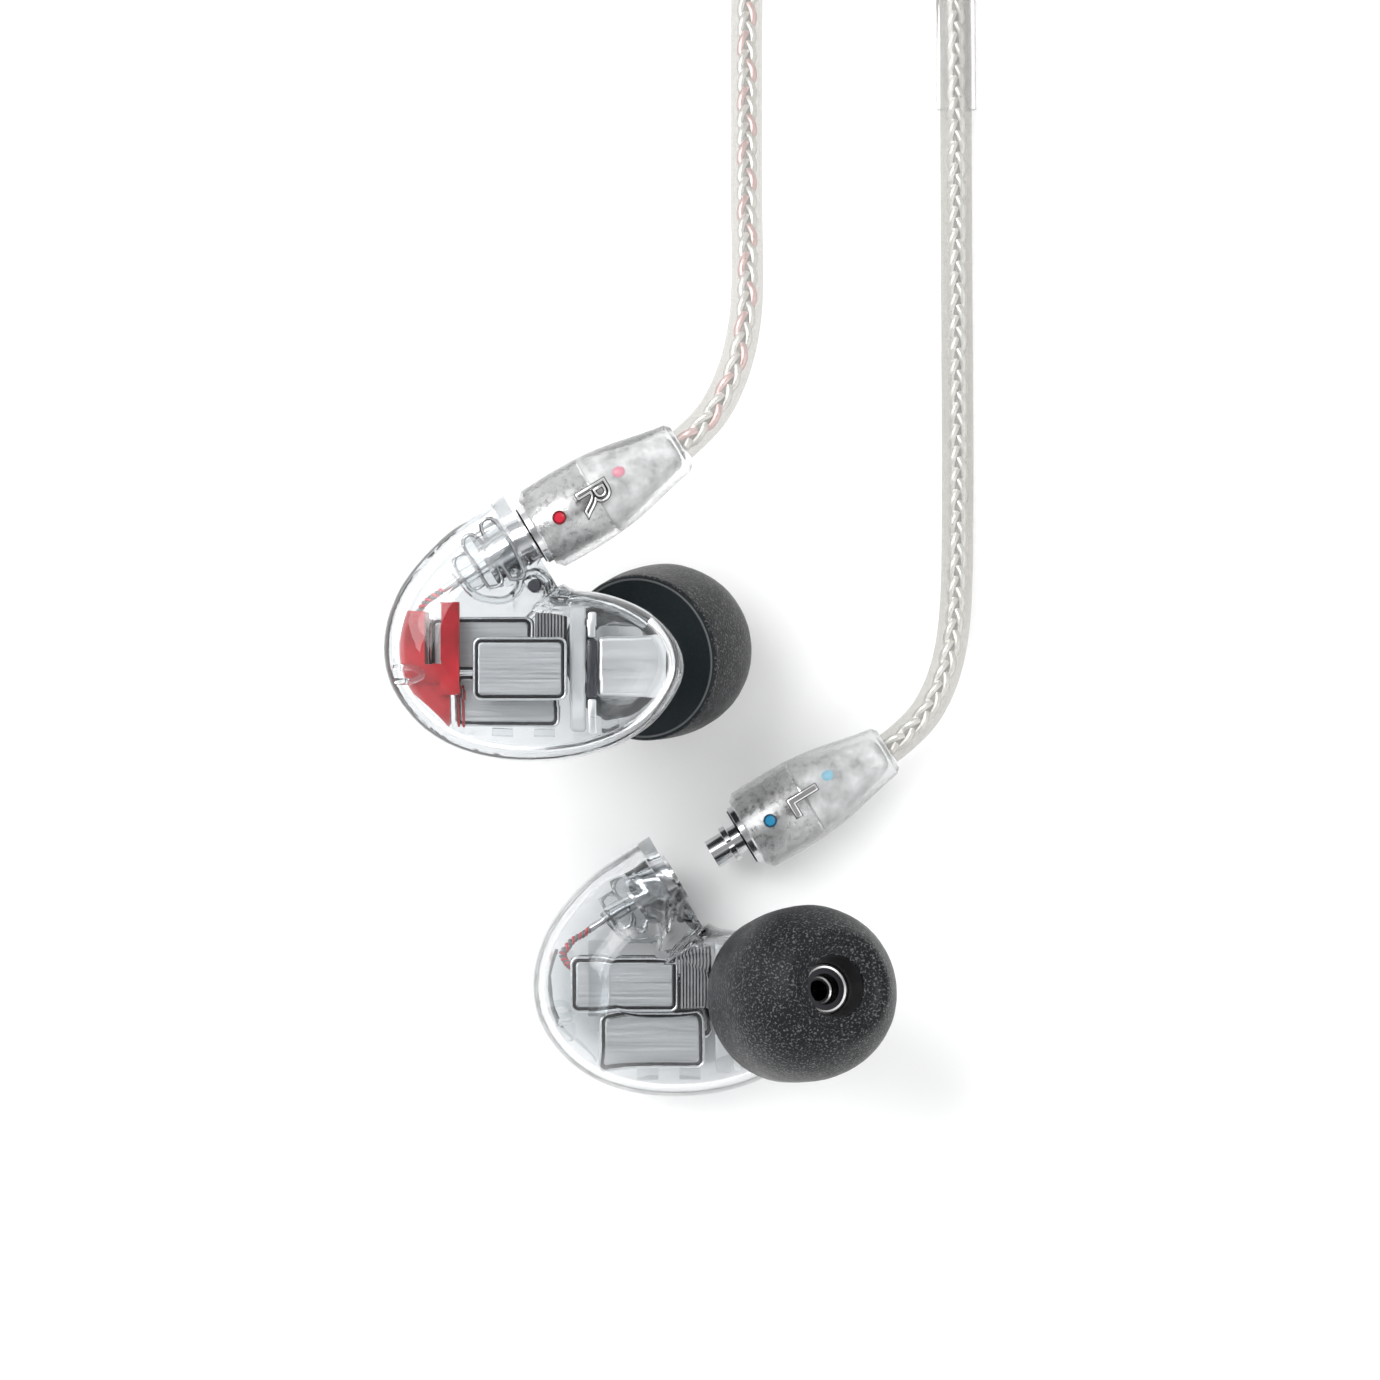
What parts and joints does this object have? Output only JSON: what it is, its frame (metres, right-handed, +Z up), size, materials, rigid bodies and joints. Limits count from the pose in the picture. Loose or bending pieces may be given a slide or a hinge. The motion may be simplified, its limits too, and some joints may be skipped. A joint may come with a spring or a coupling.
{
  "type": "in ear monitors",
  "caption": "Pair of clear wired in-ear monitors with foam tips, detachable swivelling cable plugs and a coiled cable ending in a stereo plug.",
  "frame": {"origin": "bottom centre of the two earpieces' box, on the table they lie on", "axes": "+Z up from the table, +Y towards the cable's coil, +X to the right of someone facing the coil"},
  "size_m": [0.0483, 0.1737, 0.0234],
  "materials": {
    "clear_shell": "polished clear plastic",
    "clear_moulding": "clear moulded plastic",
    "frosted_boot": "frosted clear plastic",
    "red_moulding": "translucent red plastic",
    "red_mark": "red ink",
    "blue_mark": "blue ink",
    "driver_can": "brushed steel can",
    "nozzle_metal": "satin steel",
    "bright_metal": "bright plating",
    "gold": "gold plating",
    "wire": "enamelled wire",
    "foam": "soft black foam with a satin skin",
    "tip_tube": "black rubber tube",
    "cable_jacket": "clear jacket over silver braid",
    "strap": "woven strap",
    "plug_rubber": "satin black",
    "plug_black": "black insulator"
  },
  "bodies": {
    "cable": {"right_cord": "cable_jacket", "left_cord": "cable_jacket", "plug_lead": "cable_jacket", "cord_sleeves": "clear_moulding", "cable_coil": "cable_jacket", "y_split": "frosted_boot", "coil_tie": "strap", "plug_relief": "plug_rubber", "plug_grip": "plug_rubber", "plug_contacts": "gold", "plug_insulators": "plug_black", "right_plug_body": "bright_metal", "right_plug_contact": "gold", "right_boot": "frosted_boot", "right_boot_mark": "red_mark", "left_plug_body": "bright_metal", "left_plug_contact": "gold", "left_boot": "frosted_boot", "left_boot_mark": "blue_mark"},
    "right_snap": {"right_snap_ring": "bright_metal"},
    "right_earpiece": {"right_outer_shell": "clear_shell", "right_inner_shell": "clear_shell", "right_socket": "bright_metal", "right_socket_contact": "bright_metal", "right_socket_carrier": "clear_moulding", "right_signal_wires": "wire", "right_low_driver": "driver_can", "right_middle_driver": "driver_can", "right_high_driver": "driver_can", "right_filter_plates": "driver_can", "right_cradle": "red_moulding", "right_gasket": "clear_moulding", "right_manifold": "nozzle_metal", "right_locating_ribs": "clear_moulding", "right_nozzle": "nozzle_metal", "right_nozzle_insert": "nozzle_metal", "right_nozzle_collar": "nozzle_metal"},
    "right_tip": {"right_tip_core": "tip_tube", "right_foam_tip": "foam"},
    "left_snap": {"left_snap_ring": "bright_metal"},
    "left_earpiece": {"left_outer_shell": "clear_shell", "left_inner_shell": "clear_shell", "left_socket": "bright_metal", "left_socket_contact": "bright_metal", "left_socket_carrier": "clear_moulding", "left_signal_wires": "wire", "left_low_driver": "driver_can", "left_middle_driver": "driver_can", "left_high_driver": "driver_can", "left_filter_plates": "driver_can", "left_cradle": "clear_moulding", "left_gasket": "clear_moulding", "left_manifold": "nozzle_metal", "left_locating_ribs": "clear_moulding", "left_nozzle": "nozzle_metal", "left_nozzle_insert": "nozzle_metal", "left_nozzle_collar": "nozzle_metal"},
    "left_tip": {"left_tip_core": "tip_tube", "left_foam_tip": "foam"},
    "chin_slider": {"slider": "frosted_boot"}
  },
  "joints": [
    {"name": "right_swivel", "type": "hinge", "parent": "cable", "child": "right_snap", "pos_m": [-0.00842, 0.0197, 0.01949], "axis": [0.8572, 0.515, 0], "continuous": true},
    {"name": "right_unplug", "type": "slide", "parent": "right_snap", "child": "right_earpiece", "axis": [-0.8572, -0.515, 0], "range_m": [0, 0.01]},
    {"name": "right_tip_pull", "type": "slide", "parent": "right_earpiece", "child": "right_tip", "axis": [0.4169, 0.1355, -0.8988], "range_m": [0, 0.012]},
    {"name": "left_swivel", "type": "hinge", "parent": "cable", "child": "left_snap", "pos_m": [0.00258, -0.00644, 0.0039], "axis": [0.8572, 0.515, 0], "range_deg": [-40, 140]},
    {"name": "left_plug_in", "type": "slide", "parent": "left_snap", "child": "left_earpiece", "axis": [0.8572, 0.515, 0], "range_m": [-0.008, 0.0059]},
    {"name": "left_tip_pull", "type": "slide", "parent": "left_earpiece", "child": "left_tip", "axis": [0.4169, 0.1355, 0.8988], "range_m": [0, 0.012]},
    {"name": "slider_slide", "type": "slide", "parent": "cable", "child": "chin_slider", "axis": [0, 1, 0], "range_m": [-0.001, 0.007]}
  ]
}
